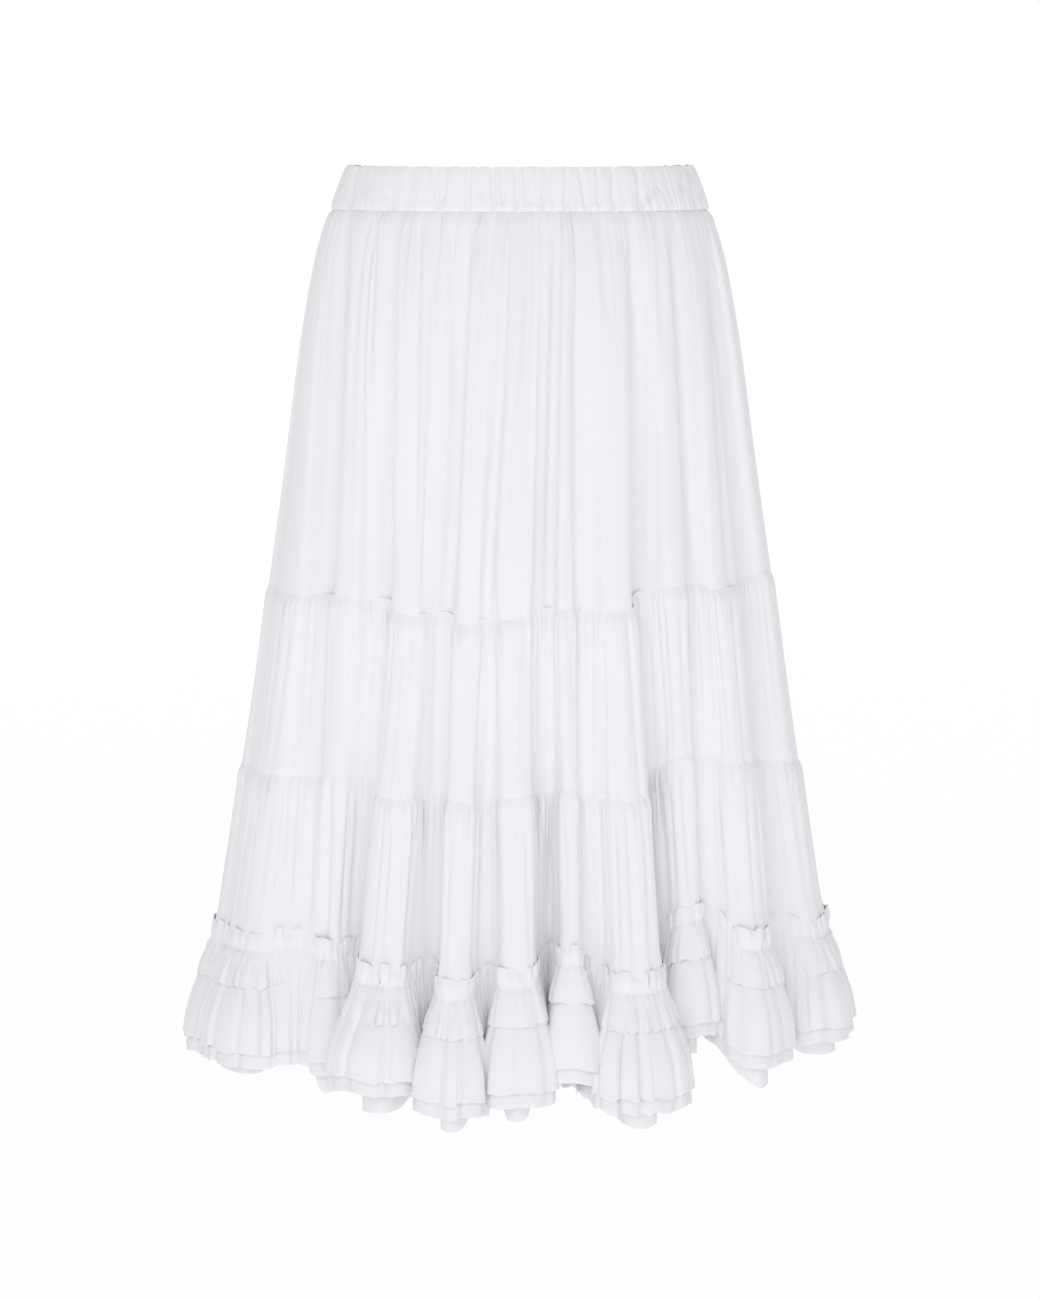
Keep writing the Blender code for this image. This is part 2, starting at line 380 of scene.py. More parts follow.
def placed_creases(points, drop, table):
    """Listed creases, a row for each: how far its upper and its lower end are across from the
    middle and below the waist, its half width, and its height, which is less than 0 for a trough.
    """
    out = np.zeros(points.shape[:2])
    for upper_across, upper_drop, lower_across, lower_drop, width, height in table:
        part = (drop - upper_drop) / (lower_drop - upper_drop)
        middle = upper_across + (lower_across - upper_across) * part
        ends = smooth_step((part + CREASE_OVERRUN) / CREASE_END)
        ends = ends * smooth_step((1.0 + CREASE_OVERRUN - part) / CREASE_END)
        out = out + height * ends * np.exp(-(((points[..., 0] - middle) / width) ** 2))
    return out


ROW_CROWDING = 0.75


def seam_rows(top, bottom, count):
    """Drops from one seam to the next, closest together at the seams."""
    even = np.linspace(0.0, 1.0, count)
    share = (1 - ROW_CROWDING) * even + ROW_CROWDING * (1.0 - np.cos(np.pi * even)) / 2
    return (top + (bottom - top) * share)[:, None]


SIDE_SEAM_WIDTH = 8.0


def near_seam(along, width=SIDE_SEAM_WIDTH):
    """0 at the side seams and 1 away from them, so that the pieces meet."""
    return smooth_step(along / width) * smooth_step((along[-1] - along) / width)


def lifted(points, out, side=0.0, lift=0.0):
    """A grid's points moved out along its normals, sideways along its rows, and up."""
    across = np.gradient(points, axis=1)
    downward = np.gradient(points, axis=0)
    across = across / np.linalg.norm(across, axis=-1, keepdims=True)
    normal = np.cross(downward, across)
    normal = normal / np.linalg.norm(normal, axis=-1, keepdims=True)
    moved = points + normal * np.broadcast_to(out, points.shape[:2])[..., None]
    moved = moved + across * np.broadcast_to(side, points.shape[:2])[..., None]
    moved[..., 2] += lift
    return moved


CLOTH_THICKNESS = 0.35
STITCH_PITCH = 3.2
STITCH_LENGTH = 2.3
STITCH_WIDTH = 0.32
STITCH_RISE = 0.16
STITCH_CORNERS = 9


def sew_stitches(name, points, distance, thread):
    """A row of stitches across a grid of points, at a distance down it from its first row."""
    down = np.linalg.norm(np.diff(points, axis=0), axis=2).mean(axis=1)
    level = np.interp(distance, np.concatenate([[0.0], np.cumsum(down)]), np.arange(len(points)))
    row = min(int(level), len(points) - 2)
    line = points[row] + (points[row + 1] - points[row]) * (level - row)
    across = np.gradient(line, axis=0)
    normal = np.cross(points[row + 1] - points[row], across)
    normal = normal / np.linalg.norm(normal, axis=-1, keepdims=True)
    steps = np.linalg.norm(np.diff(line, axis=0), axis=1)
    along = np.concatenate([[0.0], np.cumsum(steps)])
    starts = np.arange(STITCH_PITCH, along[-1] - 2 * STITCH_PITCH, STITCH_PITCH)
    rings = []
    for share, rise in ((0.0, -0.5), (0.5, 1.0), (1.0, -0.5)):
        at = starts + share * STITCH_LENGTH
        middle = np.stack([np.interp(at, along, line[:, axis]) for axis in range(3)], axis=1)
        out = np.stack([np.interp(at, along, normal[:, axis]) for axis in range(3)], axis=1)
        middle = middle + out * STITCH_RISE * rise
        up = np.array([0.0, 0.0, STITCH_WIDTH / 2])
        rings.append(np.stack([middle + up, middle + out * STITCH_WIDTH / 2, middle - up], axis=1))
    corners = np.stack(rings, axis=1).reshape(-1, 3)
    first = np.arange(len(starts))[:, None, None] * STITCH_CORNERS
    faces = first + np.array([[[0, 1, 4, 3], [1, 2, 5, 4], [3, 4, 7, 6], [4, 5, 8, 7]]])
    mesh = bpy.data.meshes.new(name)
    mesh.from_pydata((corners * MM).tolist(), [], faces.reshape(-1, 4).tolist())
    mesh.shade_smooth()
    mesh.materials.append(thread)
    piece = bpy.data.objects.new(name, mesh)
    bpy.context.scene.collection.objects.link(piece)
    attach(piece, "root")
    return piece


def sew_sheet(name, points, cloth, node, stitched_at=()):
    """A grid of points as a thin sheet of cloth, which stands for one of the model's nodes.

    It has a row of stitches at each of the distances down it that are given.
    """
    rows, columns = points.shape[:2]
    index = np.arange(rows * columns).reshape(rows, columns)
    quads = np.stack([index[:-1, :-1], index[1:, :-1], index[1:, 1:], index[:-1, 1:]], axis=-1)
    quads = quads.reshape(-1, 4)
    mesh = bpy.data.meshes.new(name)
    mesh.vertices.add(rows * columns)
    mesh.vertices.foreach_set("co", (points * MM).astype(np.float32).ravel())
    mesh.loops.add(quads.size)
    mesh.loops.foreach_set("vertex_index", quads.ravel().astype(np.int32))
    mesh.polygons.add(len(quads))
    mesh.polygons.foreach_set("loop_start", np.arange(0, quads.size, 4, dtype=np.int32))
    mesh.update()
    down = np.linalg.norm(np.diff(points[:, columns // 2], axis=0), axis=1)
    down = np.concatenate([[0.0], np.cumsum(down)])
    over = np.linalg.norm(np.diff(points[rows // 2], axis=0), axis=1)
    over = np.concatenate([[0.0], np.cumsum(over)])
    spread = np.stack(np.broadcast_arrays(over[None, :], down[:, None]), axis=-1).reshape(-1, 2)
    cut = mesh.uv_layers.new(name="cut")
    cut.data.foreach_set("uv", (spread[quads.ravel()] * MM).astype(np.float32).ravel())
    mesh.shade_smooth()
    ends = np.empty(2 * len(mesh.edges), dtype=np.int32)
    mesh.edges.foreach_get("vertices", ends)
    row, column = np.divmod(ends.reshape(-1, 2), columns)
    on_edge = (row[:, 0] == row[:, 1]) & np.isin(row[:, 0], (0, rows - 1))
    on_edge |= (column[:, 0] == column[:, 1]) & np.isin(column[:, 0], (0, columns - 1))
    mesh.attributes.new("sharp_edge", "BOOLEAN", "EDGE").data.foreach_set("value", on_edge)
    mesh.materials.append(cloth)
    piece = bpy.data.objects.new(name, mesh)
    bpy.context.scene.collection.objects.link(piece)
    thick = piece.modifiers.new("thickness", "SOLIDIFY")
    thick.thickness = CLOTH_THICKNESS * MM
    thick.offset = -1.0
    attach(piece, "root")
    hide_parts(node)
    for number, distance in enumerate(stitched_at):
        sew_stitches(f"{name}_stitches_{number + 1}", points, distance, thread)


YARN_PITCH = 0.45
WHITE_COTTON = (0.94, 0.947, 0.975)
WHITE_THREAD = (0.93, 0.935, 0.96)
SHADED = 0.96
SLUB_SHARE = 0.35
MATT = 0.8
MATT_SPREAD = 0.12


def cotton(name, white, crumple):
    """Fine plain-weave cotton: crossed yarns, uneven ones and the soft crumple of worn cloth."""
    block = bpy.data.materials.new(name)
    start = new_tree(block)
    cut = start.node("ShaderNodeUVMap", {"uv_map": "cut"})
    place = start.node("ShaderNodeTexCoord", output=3)
    warp = start.node("ShaderNodeSeparateXYZ", output=0, s0=cut)
    weft = start.node("ShaderNodeSeparateXYZ", output=1, s0=cut)
    turn = 2 * math.pi / (YARN_PITCH * MM)
    weave = (warp * turn).sine() * (weft * turn).sine()
    yarn = start.node("ShaderNodeTexNoise", Vector=cut, Scale=900.0, Detail=2.0)
    slub_space = start.node("ShaderNodeVectorMath", {"operation": "MULTIPLY"}, s0=cut,
                            s1=(12.0, 160.0, 1.0))
    slub = start.node("ShaderNodeTexNoise", Vector=slub_space, Scale=1.0, Detail=3.0)
    cloudy = start.node("ShaderNodeTexNoise", Vector=place, Scale=9.0, Detail=3.0)
    creased_space = start.node("ShaderNodeVectorMath", {"operation": "MULTIPLY"}, s0=place,
                               s1=(1.0, 1.0, 0.3))
    creased = start.node("ShaderNodeTexNoise", Vector=creased_space, Scale=42.0, Detail=4.0,
                         Roughness=0.55, Distortion=0.6)
    tone = slub * SLUB_SHARE + (1.0 - SLUB_SHARE) * cloudy
    light = tuple(white) + (1.0,)
    shaded = tuple(SHADED * part for part in white) + (1.0,)
    colour = tone.mix(shaded, light)
    rough = MATT + yarn * MATT_SPREAD
    fine = start.node("ShaderNodeBump", Height=weave * 0.5 + yarn, Strength=0.12, Distance=0.0002)
    soft = start.node("ShaderNodeBump", Height=creased, Strength=crumple, Distance=0.004, Normal=fine)
    body = start.node("ShaderNodeBsdfPrincipled", Base_Color=colour, Roughness=rough, Normal=soft,
                      Sheen_Weight=0.15, Sheen_Roughness=0.5)
    start.node("ShaderNodeOutputMaterial", Surface=body)
    return block


def twisted_thread(name, white):
    """White sewing thread, a little shinier than the cloth, with its strands as a fine bump."""
    block = bpy.data.materials.new(name)
    start = new_tree(block)
    place = start.node("ShaderNodeTexCoord", output=3)
    strands = start.node("ShaderNodeTexNoise", Vector=place, Scale=2500.0, Detail=2.0)
    light = tuple(white) + (1.0,)
    shaded = tuple(SHADED * part for part in white) + (1.0,)
    twist = start.node("ShaderNodeBump", Height=strands, Strength=0.3, Distance=0.0001)
    body = start.node("ShaderNodeBsdfPrincipled", Base_Color=strands.mix(shaded, light), Roughness=0.65,
                      Normal=twist, Sheen_Weight=0.15)
    start.node("ShaderNodeOutputMaterial", Surface=body)
    return block


thread = twisted_thread("sewing_thread", WHITE_THREAD)
tier_cloth = cotton("tier_cotton", WHITE_COTTON, 0.2)

# The two sides of every piece: its places along the fold table, and a number for its random draws.
SIDES = (("front", LEFT_SEAM, RIGHT_SEAM, 1), ("back", RIGHT_SEAM, WHOLE_TURN, 2))
SEAM_GROOVE = 0.9
GROOVE_WIDTH = 2.5


def seam_groove(distance, depth=SEAM_GROOVE):
    """The depth of the soft groove that a seam pulls into the cloth, at distances from it."""
    return depth * np.exp(-distance / GROOVE_WIDTH)


HIP_TOP = BAND_HALF - 1.0
LAP = 2.0
WAIST_TUCK = 1.3
HIP_FINE = 1.9
HIP_BROAD = 2.3
HIP_LEAN = 0.35
HIP_RISE = 9.0
HIP_SEAM_SHARE = 0.3
HIP_SWELL = 1.8
HIP_SWELL_REACH = 50.0
SEAM_TAIL = 0.2

# How fully the hip tier is gathered, at places across from the middle. Its front hangs nearly
# flat right of the middle.
HIP_FULLNESS = {
    "front": [
        (-170, 0.35),
        (-120, 0.6),
        (-90, 1.0),
        (-20, 1.0),
        (35, 0.9),
        (52, 0.35),
        (90, 0.3),
        (125, 0.35),
        (170, 0.35),
    ],
    "back": [
        (-170, 0.35),
        (-110, 0.45),
        (-60, 0.9),
        (-10, 1.0),
        (40, 0.6),
        (90, 1.0),
        (170, 0.35),
    ],
}

# The long creases: across and drop at the upper end and at the lower end, half width, height.
HIP_CREASES = {
    "front": [
        (-136, 17, -149, 318, 4.5, -6.0),
        (-112, 17, -118, 150, 3.2, -4.0),
        (-97, 24, -104, 318, 4.4, -6.5),
        (-90, 40, -96, 250, 3.3, 2.4),
        (-79, 20, -81, 260, 3.2, -4.0),
        (-64, 24, -74, 318, 3.4, -4.0),
        (-52, 17, -50, 150, 2.7, -3.4),
        (-41, 30, -56, 318, 4.2, -6.4),
        (-33, 40, -45, 280, 3.4, 2.3),
        (-22, 20, -36, 210, 3.1, -3.0),
        (-8, 17, -27, 318, 3.4, -3.0),
        (0, 80, -18, 318, 4.4, 3.8),
        (13, 20, 6, 240, 3.1, -2.9),
        (29, 25, 22, 318, 4.0, -5.8),
        (36, 28, 31, 318, 4.1, 3.0),
        (41, 90, 45, 318, 3.4, -3.8),
        (62, 17, 67, 95, 3.1, -2.6),
        (84, 17, 88, 100, 3.1, -2.2),
        (92, 80, 91, 318, 4.8, -5.7),
        (106, 17, 110, 120, 3.1, -2.1),
        (119, 22, 135, 300, 4.1, -4.4),
        (149, 50, 165, 318, 4.1, -4.0),
    ],
    "back": [
        (-140, 17, -152, 318, 4.1, -4.4),
        (-108, 20, -118, 260, 4.1, -3.4),
        (-84, 36, -96, 318, 4.8, -5.1),
        (-76, 50, -86, 290, 4.1, 2.7),
        (-57, 17, -60, 160, 3.1, -2.9),
        (-38, 30, -46, 318, 4.4, -4.4),
        (-12, 17, -8, 220, 3.4, -3.0),
        (16, 36, 12, 318, 4.4, -5.2),
        (24, 60, 22, 318, 4.1, 2.9),
        (36, 17, 42, 130, 3.1, -2.7),
        (60, 60, 68, 318, 4.4, -4.0),
        (90, 17, 100, 318, 4.8, -5.1),
        (112, 20, 120, 180, 3.4, -2.9),
        (138, 40, 152, 318, 4.1, -4.2),
    ],
}

for side, first, last, number in SIDES:
    place, along = even_places(first, last, count=560, drop=KNEE_SEAM)
    drop = seam_rows(HIP_TOP, KNEE_SEAM + LAP, count=36)
    down = drop - BAND_HALF
    seed = 10 + number
    body = folded_body(place[None, :], drop)
    fullness = np.interp(body[..., 0], *np.array(HIP_FULLNESS[side]).T)
    fine = gathers(along, down, spacing=6.0, longest=55.0, seed=seed)[0]
    broad, lean = gathers(along, down, spacing=16.0, longest=300.0, seed=seed + 20, narrow=4.0)
    tail = gathers(along, KNEE_SEAM - drop, spacing=7.0, longest=26.0, seed=seed + 40)[0]
    rise = smooth_step(down / HIP_RISE)
    fine_rise = HIP_SEAM_SHARE + (1 - HIP_SEAM_SHARE) * rise
    out = fullness * (HIP_FINE * fine * fine_rise + HIP_BROAD * broad * rise)
    out = out + SEAM_TAIL * tail + placed_creases(body, drop, HIP_CREASES[side]) * rise
    out = out + HIP_SWELL * rise * np.exp(-down / HIP_SWELL_REACH) - seam_groove(KNEE_SEAM + LAP - drop)
    tuck = seam_groove(drop - HIP_TOP, WAIST_TUCK)
    points = lifted(body, out * near_seam(along) - tuck, side=HIP_LEAN * lean * near_seam(along))
    sew_sheet("hip_tier_cloth_" + side, points, tier_cloth, "tier_1_" + side)

# ---------------------------------------------------------------------------------------------
# The middle tier: wider lengths of the same cotton, gathered into the hip tier's hem edge, so
# that they swell out under the seam.

SEAM_SWELL = 2.2
SWELL_REACH = 45.0
MIDDLE_FINE = 1.9
MIDDLE_BROAD = 2.4
MIDDLE_BROAD_RISE = 40.0
TIER_LEAN = 0.5
TIER_RISE = 8.0
TIER_SEAM_SHARE = 0.2

# Long creases between its folds, with the columns of the hip tier's.
MIDDLE_CREASES = {
    "front": [
        (-170, 322, -176, 440, 4.0, -1.8),
        (-128, 322, -134, 450, 4.0, -2.0),
        (-84, 320, -86, 430, 3.5, -1.8),
        (-71, 330, -73, 462, 4.0, 1.5),
        (-36, 320, -38, 420, 3.5, -1.8),
        (5, 325, 6, 462, 4.0, -2.0),
        (40, 322, 42, 400, 3.0, -1.5),
        (64, 320, 66, 410, 3.5, -1.6),
        (77, 335, 81, 462, 4.0, 1.4),
        (110, 322, 114, 450, 4.0, -2.0),
        (148, 322, 154, 455, 4.0, -1.9),
    ],
    "back": [
        (-160, 322, -166, 450, 4.0, -1.9),
        (-118, 320, -122, 420, 3.5, -1.7),
        (-70, 325, -74, 462, 4.0, -2.0),
        (-30, 320, -30, 410, 3.5, -1.6),
        (6, 330, 8, 462, 4.0, 1.5),
        (52, 322, 56, 450, 4.0, -2.0),
        (96, 320, 100, 430, 3.5, -1.7),
        (144, 322, 150, 455, 4.0, -1.9),
    ],
}

for side, first, last, number in SIDES:
    place, along = even_places(first, last, count=660, drop=CALF_SEAM)
    drop = seam_rows(KNEE_SEAM - LAP, CALF_SEAM + LAP, count=26)
    down = drop - KNEE_SEAM
    seed = 110 + number
    body = folded_body(place[None, :], drop)
    fine = gathers(along, down, spacing=5.5, longest=48.0, seed=seed)[0]
    broad, lean = gathers(along, down, spacing=13.0, longest=220.0, seed=seed + 20, narrow=4.0)
    tail = gathers(along, CALF_SEAM - drop, spacing=6.5, longest=20.0, seed=seed + 40)[0]
    rise = TIER_SEAM_SHARE + (1 - TIER_SEAM_SHARE) * smooth_step(down / TIER_RISE)
    out = MIDDLE_FINE * fine * rise + MIDDLE_BROAD * broad * smooth_step(down / MIDDLE_BROAD_RISE)
    out = out + SEAM_TAIL * tail + SEAM_SWELL * rise * np.exp(-down / SWELL_REACH)
    out = out + placed_creases(body, drop, MIDDLE_CREASES[side])
    out = out - seam_groove(down + LAP) - seam_groove(CALF_SEAM + LAP - drop)
    points = lifted(body, out * near_seam(along), side=TIER_LEAN * lean * near_seam(along))
    sew_sheet("middle_tier_cloth_" + side, points, tier_cloth, "tier_2_" + side)

# ---------------------------------------------------------------------------------------------
# The lowest tier: gathered again, and long enough to hang below the ruffles that are sewn on it,
# where each of its folds ends in a narrow round tube.

LOW_FINE = 1.9
LOW_BROAD = 2.8
LOW_BROAD_RISE = 45.0
HEM_TURNING = 8.0
TUBE_PINCH = 0.65
VALLEY_RISE = 11.0

# Above the ruffles the gathers are pressed flat, and the cloth bulges a little over their line.
PRESSED_SHARE = 0.85
PRESSED_FROM = 45.0
PRESSED_REACH = 35.0
BULGE = 1.8
BULGE_ABOVE = 12.0
BULGE_WIDTH = 10.0

# Long creases between its folds, with the columns of the hip tier's.
LOW_CREASES = {
    "front": [
        (-182, 466, -188, 560, 4.0, -1.9),
        (-146, 466, -152, 590, 4.5, -2.2),
        (-92, 464, -96, 560, 4.0, -1.9),
        (-76, 475, -78, 590, 4.5, 1.7),
        (-40, 466, -42, 580, 4.0, -2.0),
        (0, 468, 0, 560, 3.5, -1.7),
        (38, 466, 39, 560, 3.5, -1.6),
        (68, 466, 71, 585, 4.5, -2.2),
        (90, 475, 95, 590, 4.5, 1.6),
        (126, 464, 132, 560, 4.0, -2.0),
        (166, 466, 174, 580, 4.5, -2.1),
    ],
    "back": [
        (-176, 466, -184, 580, 4.5, -2.0),
        (-128, 464, -132, 570, 4.0, -1.9),
        (-82, 468, -86, 590, 4.5, -2.1),
        (-34, 464, -34, 560, 4.0, -1.8),
        (10, 475, 12, 590, 4.5, 1.7),
        (60, 466, 64, 585, 4.5, -2.1),
        (108, 464, 112, 570, 4.0, -1.9),
        (160, 466, 168, 580, 4.5, -2.0),
    ],
}

# How much higher the hems of the tubes, and of the ruffles over them, hang at places along the
# fold table: place, rise of the tubes, rise of the ruffles. A rise below 0 is a hem that hangs lower.
RISE_PLACE, TUBE_RISE, RUFFLE_RISE = range(3)
HEM_RISES = np.array([
    (0, 2, 0),
    (2, 5, 0),
    (4, -6, 0),
    (5, -4, 1),
    (6, 5, 9),
    (7, 3, 4),
    (8, 1, 2),
    (11, 0, 0),
    (12, 9, 0),
    (13, 0, 0),
    (18, -7, 0),
    (19, 0, 2),
    (20, 9, 10),
    (22, 5, 8),
    (24, 0, 0),
    (38, 0, 0),
    (40, 2, 0),
])

for side, first, last, number in SIDES:
    place, along = even_places(first, last, count=780, drop=RUFFLE_LINE)
    drop = seam_rows(CALF_SEAM - LAP, BASE_HEM, count=28)
    down = drop - CALF_SEAM
    seed = 210 + number
    hanging = smooth_step((drop - RUFFLE_LINE) / (BASE_HEM - RUFFLE_LINE))
    body = folded_body(place[None, :], drop, TUBE_PINCH * hanging)
    fine = gathers(along, down, spacing=5.5, longest=52.0, seed=seed)[0]
    broad, lean = gathers(along, down, spacing=14.0, longest=260.0, seed=seed + 20, narrow=4.0)
    rise = TIER_SEAM_SHARE + (1 - TIER_SEAM_SHARE) * smooth_step(down / TIER_RISE)
    pressed = 1.0 - PRESSED_SHARE * smooth_step((drop - RUFFLE_LINE + PRESSED_FROM) / PRESSED_REACH)
    out = (LOW_FINE * fine * rise + LOW_BROAD * broad * smooth_step(down / LOW_BROAD_RISE)) * pressed
    out = out + SEAM_SWELL * rise * np.exp(-down / SWELL_REACH) - seam_groove(down + LAP)
    out = out + placed_creases(body, drop, LOW_CREASES[side])
    out = out + BULGE * np.exp(-(((drop - RUFFLE_LINE + BULGE_ABOVE) / BULGE_WIDTH) ** 2))
    rises = np.interp(place, HEM_RISES[:, RISE_PLACE], HEM_RISES[:, TUBE_RISE])
    rises = rises + VALLEY_RISE * (1.0 - smooth_step(2.0 * ridge_share(place)))
    body[..., 2] += hanging * rises
    points = lifted(body, out * near_seam(along), side=TIER_LEAN * lean * near_seam(along))
    sew_sheet("low_tier_cloth_" + side, points, tier_cloth, "tier_3_" + side,
              stitched_at=[BASE_HEM - CALF_SEAM - HEM_TURNING])

# ---------------------------------------------------------------------------------------------
# The ruffles: a long under flounce and a shorter main flounce, hung from one line of stitching
# on the lowest tier. Their pleats nest, so both are worked out from the same gathers.

UNDER_FLOUNCE = 87.0
MAIN_FLOUNCE = 76.0
LAYER = 0.7
UNDER_CUT = (1.4, 0.09)
MAIN_CUT = (1.55, 0.078)
CONE_SPREAD = 0.5
NARROW_HEM = 4.0
RUFFLE_GROWTH = 60.0
RUFFLE_START = 0.2
UNDER_SHARE = 0.75
FLOUNCE_FLARE = 0.6
HEM_STAND = 5.0
HANG_SHARE = 0.8

# How far the fine gathers at the line, the pleats and the broad waves stand out and lean.
LINE_STAND = 1.1
LINE_FINE = 1.1
PLEAT = 5.2
PLEAT_LEAN = 1.2
WAVE = 2.6
WAVE_LEAN = 3.0

flounce_cloth = cotton("flounce_cotton", WHITE_COTTON, 0.3)


def flounce_pleats(along, down, seed):
    """How far the ruffles stand out in pleats, and how far the pleats lean, down from the line."""
    fine = gathers(along, down, spacing=6.0, longest=40.0, seed=seed)[0]
    pleat, pleat_lean = gathers(along, 0 * down, spacing=11.0, longest=60.0, seed=seed + 20, narrow=8.0)
    wave, wave_lean = gathers(along, 0 * down, spacing=27.0, longest=60.0, seed=seed + 30)
    grown = RUFFLE_START + (1 - RUFFLE_START) * smooth_step(down / RUFFLE_GROWTH)
    out = LINE_STAND + LINE_FINE * fine + PLEAT * grown * (1.0 + pleat) + WAVE * grown * (1.0 + wave)
    return out, grown * (PLEAT_LEAN * pleat_lean + WAVE_LEAN * wave_lean)


for side, first, last, number in SIDES:
    seed = 310 + number
    for layer, cut, length, stand, share, node, columns, rows in (
        ("under", UNDER_CUT, UNDER_FLOUNCE, LAYER, UNDER_SHARE, "under_flounce_", 760, 9),
        ("main", MAIN_CUT, MAIN_FLOUNCE, 2 * LAYER, 1.0, "main_flounce_", 1150, 15),
    ):
        place, along = even_places(first, last, columns, BASE_HEM)
        drop = np.linspace(RUFFLE_LINE, RUFFLE_LINE + length, rows)[:, None]
        down = drop - RUFFLE_LINE
        out, lean = flounce_pleats(along, down, seed)
        flare = (1.0 - FLOUNCE_FLARE + FLOUNCE_FLARE * ridge_share(place)) * near_seam(along)
        out = stand + share * out * flare + HEM_STAND * down / length
        hang = down / length * np.interp(place, HEM_RISES[:, RISE_PLACE], HEM_RISES[:, RUFFLE_RISE])
        hang = hang - share * (down / length) ** 2 * lean * HANG_SHARE
        body = folded_body(place[None, :], drop, -CONE_SPREAD * smooth_step(down / RUFFLE_GROWTH))
        points = lifted(body, out, side=share * lean * flare, lift=hang)
        sew_sheet(layer + "_flounce_cloth_" + side, points, flounce_cloth, node + side,
                  stitched_at=[length - NARROW_HEM])

# ---------------------------------------------------------------------------------------------
# The frill: a narrow strip over the ruffles' top edge, gathered on a line part of the way down.
# Above the line it is scrunched and flops over, and below it lies as a short flounce.

HEADING = 20.0
SHORT_FLOUNCE = 26.0
FRILL_FLARE = 0.65

# The short flounce stands out over the main one in pleats of its own.
OWN_PLEAT = 2.2
OWN_STAND = 1.2
OWN_GROWTH = 18.0
OWN_LEAN = 1.8
OWN_HANG = 2.0

# The heading leans back in at its edge, but scrunches up into small and large lumps that flop.
HEADING_STAND = 0.9
HEADING_FINE = 1.5
HEADING_RISE = 14.0
EDGE_LEANS_IN = 1.5
LEAST_LUMP = 0.7
MEAN_LUMP = 1.2
SMALL_LUMP = 1.5
SMALL_LEAN = 1.8
SMALL_FLOP = 2.2
LARGE_LUMP = 2.3
LARGE_LEAN = 3.0
LARGE_FLOP = 3.6
HEADING_FLOP = 4.0

for side, first, last, number in SIDES:
    seed = 310 + number
    place, along = even_places(first, last, count=1300, drop=BASE_HEM)
    drop = np.linspace(RUFFLE_LINE - HEADING, RUFFLE_LINE + SHORT_FLOUNCE, num=16)[:, None]
    below = np.maximum(0.0, drop - RUFFLE_LINE)
    above = np.maximum(0.0, RUFFLE_LINE - drop)
    flare = (1.0 - FRILL_FLARE + FRILL_FLARE * ridge_share(place)) * near_seam(along)
    under_it = flounce_pleats(along, below, seed)[0]
    own, own_lean = gathers(along, 0 * below, spacing=9.0, longest=60.0, seed=seed + 60, narrow=4.0)
    small, small_lean = gathers(along, 0 * above, spacing=10.0, longest=50.0, seed=seed + 70, narrow=1.8)
    large, large_lean = gathers(along, 0 * above, spacing=22.0, longest=50.0, seed=seed + 75, narrow=1.8)
    fine = gathers(along, np.maximum(above, below), spacing=4.5, longest=16.0, seed=seed + 80)[0]
    flounce = under_it + OWN_PLEAT * smooth_step(below / OWN_GROWTH) * (OWN_STAND + own)
    flounce = flounce + LINE_FINE * fine
    flounce_lean = OWN_LEAN * own_lean * below / SHORT_FLOUNCE
    raised = smooth_step(above / HEADING_RISE)
    edge = (above / HEADING) ** 2
    heading = HEADING_STAND - EDGE_LEANS_IN * edge + HEADING_FINE * fine
    heading = heading + raised * np.maximum(LEAST_LUMP, MEAN_LUMP + SMALL_LUMP * small + LARGE_LUMP * large)
    heading_lean = raised * (SMALL_LEAN * small_lean + LARGE_LEAN * large_lean)
    out = np.where(above > 0, heading, flounce)
    lean = np.where(above > 0, heading_lean, flounce_lean)
    flop = -edge * (HEADING_FLOP - SMALL_FLOP * small - LARGE_FLOP * large)
    flop = flop + (below / SHORT_FLOUNCE) ** 2 * OWN_HANG * own_lean
    body = folded_body(place[None, :], drop, -CONE_SPREAD * smooth_step(below / RUFFLE_GROWTH))
    points = lifted(body, 3 * LAYER + out * flare, side=lean * flare, lift=flop * near_seam(along))
    sew_sheet("frill_cloth_" + side, points, flounce_cloth, "frill_" + side,
              stitched_at=[HEADING])

# ---------------------------------------------------------------------------------------------
# The waistband: a casing of the same cotton round a wide elastic, which draws it into uneven
# upright creases. It is stitched down along its lower edge, and dips a little at the back.

BACK_DIP = 6.5
BAND_STITCHING = 2.0
BAND_FULLNESS = 1.9
BAND_PUFF = 0.5
BAND_PUCKER = 0.8
EDGE_WAVE = 0.6

# The band's stitched edge laps this far down and out over the gathers of the hip tier.
BAND_LAP = 0.5
BAND_LEDGE = 0.7
LEDGE_SHARE = 0.4

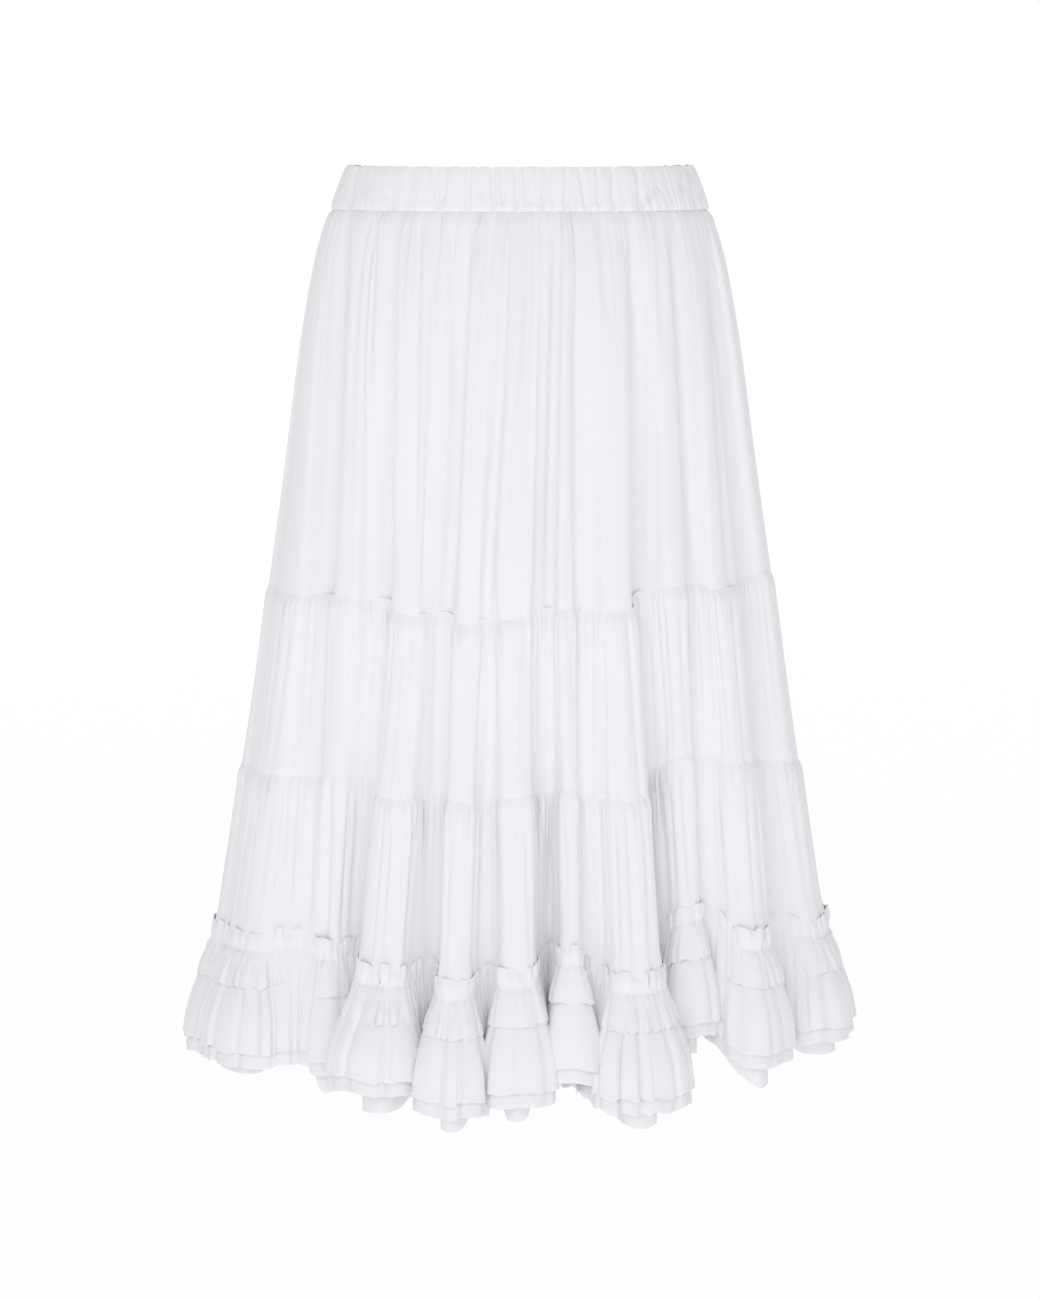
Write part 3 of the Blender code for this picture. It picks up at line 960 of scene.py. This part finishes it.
# Its creases: across and drop at the upper end and at the lower end, half width, height.
BAND_CREASES = {
    "front": [
        (-128, -17, -133, 17, 2.4, -3.1),
        (-122, -17, -120, 6, 2.9, -1.8),
        (-100, 4, -98, 17, 2.4, -1.8),
        (-84, -17, -85, 17, 3.3, -1.3),
        (-66, -17, -62, 17, 2.2, -3.2),
        (-58, -17, -59, 10, 1.8, -2.3),
        (-39, -17, -40, 17, 2.0, -3.2),
        (-31, -17, -29, 8, 2.0, -1.8),
        (-21, -17, -20, 17, 1.8, -3.5),
        (-14, -17, -13, 12, 1.8, -2.9),
        (-3, -17, -2, 17, 1.8, -3.1),
        (4, -17, 5, 14, 1.8, -2.7),
        (22, -17, 16, 17, 2.2, -3.6),
        (36, -17, 35, 17, 2.0, -3.1),
        (46, -17, 51, 17, 2.0, -3.6),
        (60, -17, 60, 14, 1.8, -2.9),
        (71, -17, 73, 17, 2.0, -3.2),
        (92, -17, 92, 17, 2.2, -3.1),
        (108, -3, 92, 16, 1.5, -2.3),
        (126, -17, 126, 2, 1.8, -2.6),
        (132, -17, 138, 17, 2.2, -3.1),
    ],
    "back": [
        (-126, -17, -130, 17, 2.2, -2.2),
        (-108, -17, -106, 17, 2.0, -2.4),
        (-92, -17, -95, 10, 1.8, -2.1),
        (-77, -17, -74, 17, 2.0, -2.7),
        (-61, -17, -62, 17, 1.8, -2.2),
        (-48, -17, -44, 14, 1.8, -2.4),
        (-30, -17, -32, 17, 2.0, -2.7),
        (-17, -17, -15, 17, 1.6, -2.1),
        (-2, -17, -4, 12, 1.8, -2.5),
        (12, -17, 15, 17, 2.0, -2.4),
        (27, -17, 27, 17, 1.6, -2.2),
        (43, -17, 40, 17, 2.0, -2.8),
        (55, -17, 57, 10, 1.8, -2.1),
        (71, -17, 73, 17, 2.0, -2.5),
        (88, -17, 86, 17, 1.8, -2.4),
        (103, -17, 107, 17, 2.0, -2.5),
        (124, -17, 130, 17, 2.2, -2.2),
    ],
}

band_cloth = cotton("band_cotton", WHITE_COTTON, 0.2)

for side, first, last, number in SIDES:
    place, along = even_places(first, last, count=620, drop=0.0)
    drop = np.linspace(-BAND_HALF, BAND_HALF + BAND_LAP, num=14)[:, None]
    depth = (drop + BAND_HALF) / (2 * BAND_HALF)
    seed = 410 + number
    body = folded_body(place[None, :], drop)
    puff = gathers(along, 0 * depth, spacing=12.0, longest=60.0, seed=seed)[0]
    pucker = gathers(along, BAND_HALF - drop, spacing=5.0, longest=14.0, seed=seed + 20)[0]
    fullness = np.sqrt(np.clip(1 - (2 * depth - 1) ** 2, 0.0, 1.0))
    out = BAND_PUFF * puff + BAND_PUCKER * pucker + BAND_FULLNESS * fullness
    out = out + placed_creases(body, drop, BAND_CREASES[side])
    edge = EDGE_WAVE * (1 - depth) * puff * near_seam(along)
    if side == "back":
        edge = edge - BACK_DIP * (1 - depth) * near_seam(along, along[-1] / 2)
    ledge = BAND_LEDGE * smooth_step((depth - 1 + LEDGE_SHARE) / LEDGE_SHARE)
    points = lifted(body, out * near_seam(along) + ledge, lift=edge)
    sew_sheet("waistband_cloth_" + side, points, band_cloth, "waistband_" + side,
              stitched_at=[2 * BAND_HALF - BAND_STITCHING])
